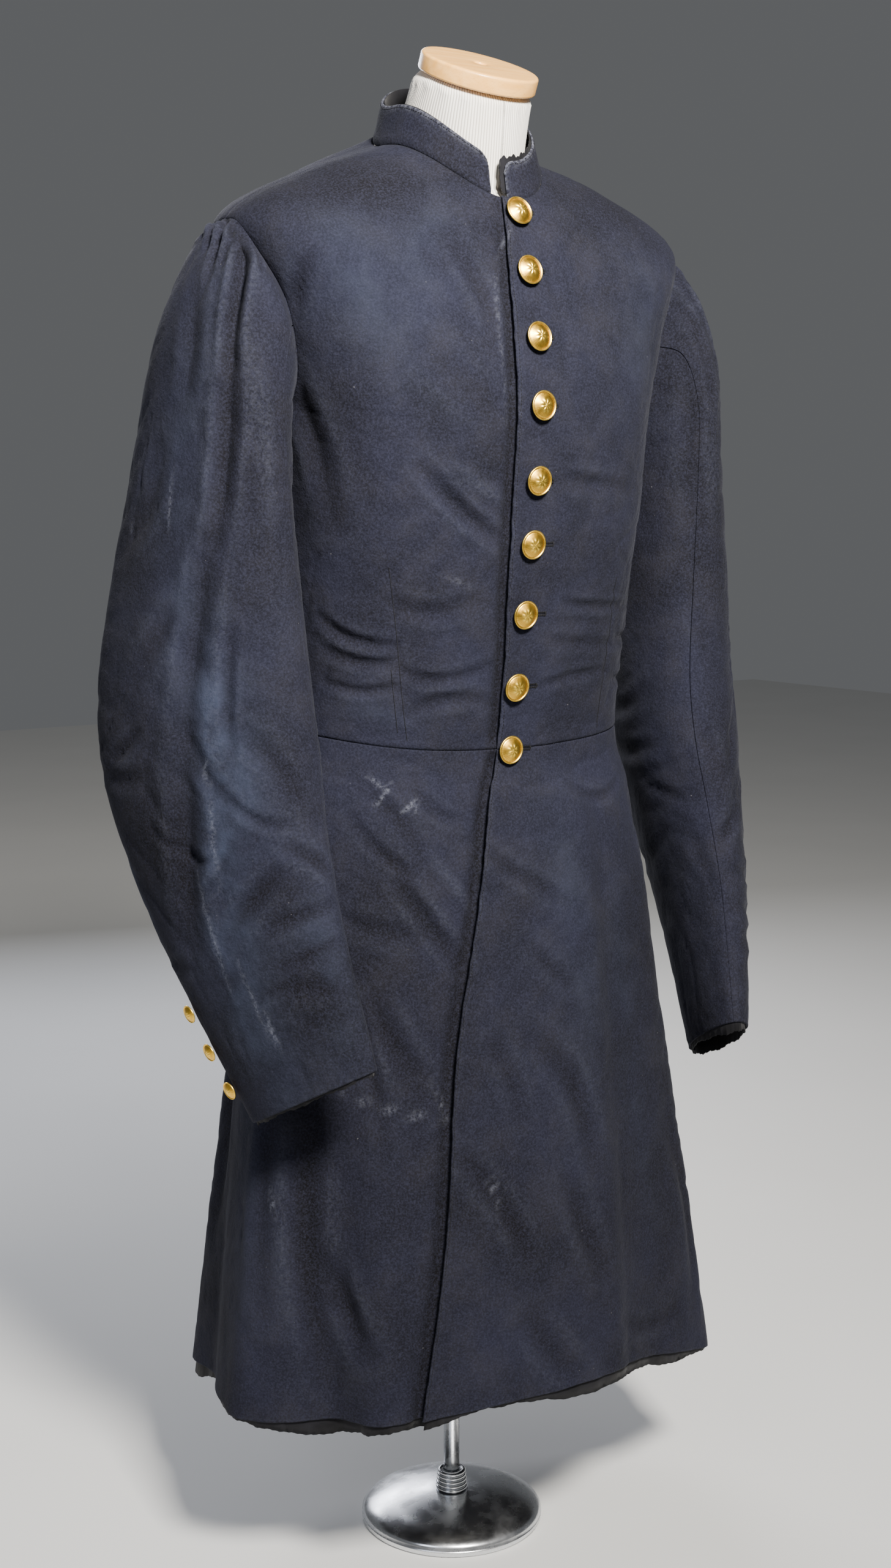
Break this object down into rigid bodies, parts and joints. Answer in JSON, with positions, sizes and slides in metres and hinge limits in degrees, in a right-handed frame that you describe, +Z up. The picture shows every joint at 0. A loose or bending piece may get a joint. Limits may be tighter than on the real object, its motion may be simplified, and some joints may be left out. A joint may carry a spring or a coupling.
{
  "type": "frock coat on a limbless dress form with stand",
  "caption": "Single-breasted navy wool frock coat with standing collar and gilt buttons, worn by a limbless dress form on a chrome stand.",
  "frame": {"origin": "centre of the stand's flat underside, on the pole's axis", "axes": "+Z up along the pole; the coat's front faces -Y; +X is the wearer's left"},
  "size_m": [0.5938, 0.3458, 1.2437],
  "materials": {
    "navy_broadcloth": "matt, fulled and faintly napped",
    "black_lining": "dull cotton",
    "gilt_brass": "gilt, worn",
    "cream_jersey": "fine ribbed knit",
    "light_beech": "varnished",
    "chrome_plate": "mirror polished"
  },
  "bodies": {
    "root": {"back_left": "navy_broadcloth", "back_right": "navy_broadcloth", "base": "chrome_plate", "collar": "navy_broadcloth", "collar_lining": "black_lining", "cuff_button_left_1": "gilt_brass", "cuff_button_left_2": "gilt_brass", "cuff_button_left_3": "gilt_brass", "cuff_button_right_1": "gilt_brass", "cuff_button_right_2": "gilt_brass", "cuff_button_right_3": "gilt_brass", "cuff_lining_left": "black_lining", "cuff_lining_right": "black_lining", "form_body": "cream_jersey", "front_button_1": "gilt_brass", "front_button_2": "gilt_brass", "front_button_3": "gilt_brass", "front_button_4": "gilt_brass", "front_button_5": "gilt_brass", "front_button_6": "gilt_brass", "front_button_7": "gilt_brass", "front_button_8": "gilt_brass", "front_button_9": "gilt_brass", "front_left": "navy_broadcloth", "front_right": "navy_broadcloth", "neck_cap": "light_beech", "pole": "chrome_plate", "pole_collar": "chrome_plate", "side_left": "navy_broadcloth", "side_right": "navy_broadcloth", "skirt_left": "navy_broadcloth", "skirt_lining_left": "black_lining", "skirt_lining_right": "black_lining", "skirt_right": "navy_broadcloth", "top_sleeve_left": "navy_broadcloth", "top_sleeve_right": "navy_broadcloth", "under_sleeve_left": "navy_broadcloth", "under_sleeve_right": "navy_broadcloth"}
  },
  "joints": []
}
